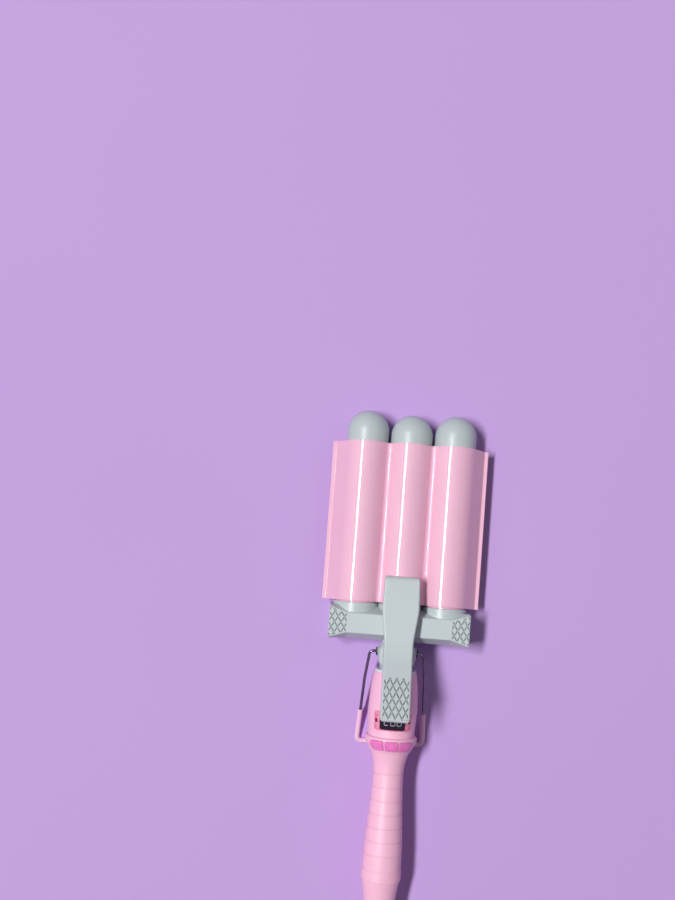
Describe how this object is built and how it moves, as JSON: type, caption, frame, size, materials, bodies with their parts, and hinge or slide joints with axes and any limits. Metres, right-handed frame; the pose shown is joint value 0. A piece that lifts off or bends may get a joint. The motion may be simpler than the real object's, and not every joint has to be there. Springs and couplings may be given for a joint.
{
  "type": "hair waver",
  "caption": "Hair waver with heated barrels, a wave-shaped spring clamp, a thumb lever, a wire kick-stand and a digital handle with buttons.",
  "frame": {"origin": "centre of the bounding box in plan, at the level it lies on", "axes": "+Y towards the barrel tips, +Z towards the clamp lever"},
  "size_m": [0.1204, 0.39, 0.0716],
  "materials": {
    "barrel_coating": "gloss ceramic coating over aluminium tube",
    "clamp_coating": "gloss enamel on pressed steel",
    "tip_plastic": "moulded heat-resistant plastic",
    "collar_plastic": "moulded heat-resistant plastic",
    "cover_plastic": "moulded plastic, fine satin",
    "handle_plastic": "moulded plastic, soft-touch satin",
    "button_plastic": "moulded semi-gloss plastic",
    "bezel_plastic": "moulded tinted plastic",
    "window_plastic": "smoked acrylic",
    "lens_plastic": "moulded translucent lens",
    "rim_plastic": "moulded plastic",
    "sleeve_rubber": "silicone sleeve",
    "bush_plastic": "acetal",
    "polished_steel": "bent polished stainless wire",
    "plain_steel": "zinc-plated steel",
    "spring_steel": "spring steel",
    "core_aluminium": "extruded aluminium",
    "heater_ceramic": "ceramic strip",
    "sensor_glass": "glass bead",
    "fuse_metal": "plated case",
    "lead_insulation": "silicone-insulated wire",
    "board_laminate": "glass-epoxy laminate",
    "component_plastic": "moulded component cases",
    "inner_plastic": "moulded plastic",
    "contact_brass": "plain brass"
  },
  "bodies": {
    "frame": {"barrel_left": "barrel_coating", "barrel_middle": "barrel_coating", "barrel_right": "barrel_coating", "tip_left": "tip_plastic", "tip_middle": "tip_plastic", "tip_right": "tip_plastic", "heater_core_left": "core_aluminium", "heater_core_middle": "core_aluminium", "heater_core_right": "core_aluminium", "heater_plate_left": "heater_ceramic", "heater_plate_middle": "heater_ceramic", "heater_plate_right": "heater_ceramic", "thermistor": "sensor_glass", "thermal_fuse": "fuse_metal", "heater_leads": "lead_insulation", "supply_leads": "lead_insulation", "barrel_collars": "collar_plastic", "barrel_carrier": "plain_steel", "crossbar_front_cover": "cover_plastic", "crossbar_rear_cover": "cover_plastic", "crossbar_screws": "plain_steel", "handle_screws": "plain_steel", "neck_rim": "rim_plastic", "handle_front_shell": "handle_plastic", "handle_rear_shell": "handle_plastic", "handle_band": "handle_plastic", "end_cap": "handle_plastic", "button_ring": "handle_plastic", "switch_carrier": "inner_plastic", "tact_switches": "component_plastic", "display_bezel": "bezel_plastic", "display_window": "window_plastic", "side_lenses": "lens_plastic", "display_module": "component_plastic", "main_board": "board_laminate", "board_parts": "component_plastic", "hinge_pin": "polished_steel", "clamp_spring": "spring_steel", "stand_bushes": "bush_plastic", "swivel_bush": "bush_plastic", "contact_block": "inner_plastic", "contact_blades": "contact_brass"},
    "clamp": {"clamp_plate": "clamp_coating", "clamp_rivets": "plain_steel", "lever_bracket": "plain_steel", "lever_cover": "cover_plastic", "lever_base": "cover_plastic", "lever_screws": "plain_steel"},
    "stand": {"stand_wire": "polished_steel", "stand_sleeve": "sleeve_rubber"},
    "minus_key": {"button_minus": "button_plastic"},
    "power_key": {"button_power": "button_plastic"},
    "plus_key": {"button_plus": "button_plastic"},
    "swivel": {"cord_gland": "collar_plastic", "swivel_pins": "contact_brass"}
  },
  "joints": [
    {"name": "clamp_hinge", "type": "hinge", "parent": "frame", "child": "clamp", "pos_m": [0, 0.0155, 0.038], "axis": [1, 0, 0], "range_deg": [0, 20], "stiffness_Nm_per_rad": 0.8, "springref_deg": -20.05, "deforming": ["clamp_spring"]},
    {"name": "stand_hinge", "type": "hinge", "parent": "frame", "child": "stand", "pos_m": [0, 0.0113, 0.0232], "axis": [1, 0, 0], "range_deg": [0, 82]},
    {"name": "minus_press", "type": "slide", "parent": "frame", "child": "minus_key", "axis": [0.5892, 0, -0.808], "range_m": [0, 0.0005], "stiffness_N_per_m": 1500, "springref_m": -0.0005},
    {"name": "power_press", "type": "slide", "parent": "frame", "child": "power_key", "axis": [0, 0, -1], "range_m": [0, 0.0005], "stiffness_N_per_m": 1500, "springref_m": -0.0005},
    {"name": "plus_press", "type": "slide", "parent": "frame", "child": "plus_key", "axis": [-0.5892, 0, -0.808], "range_m": [0, 0.0005], "stiffness_N_per_m": 1500, "springref_m": -0.0005},
    {"name": "cord_swivel", "type": "hinge", "parent": "frame", "child": "swivel", "pos_m": [0, -0.19, 0.0232], "axis": [0, 1, 0], "continuous": true}
  ]
}
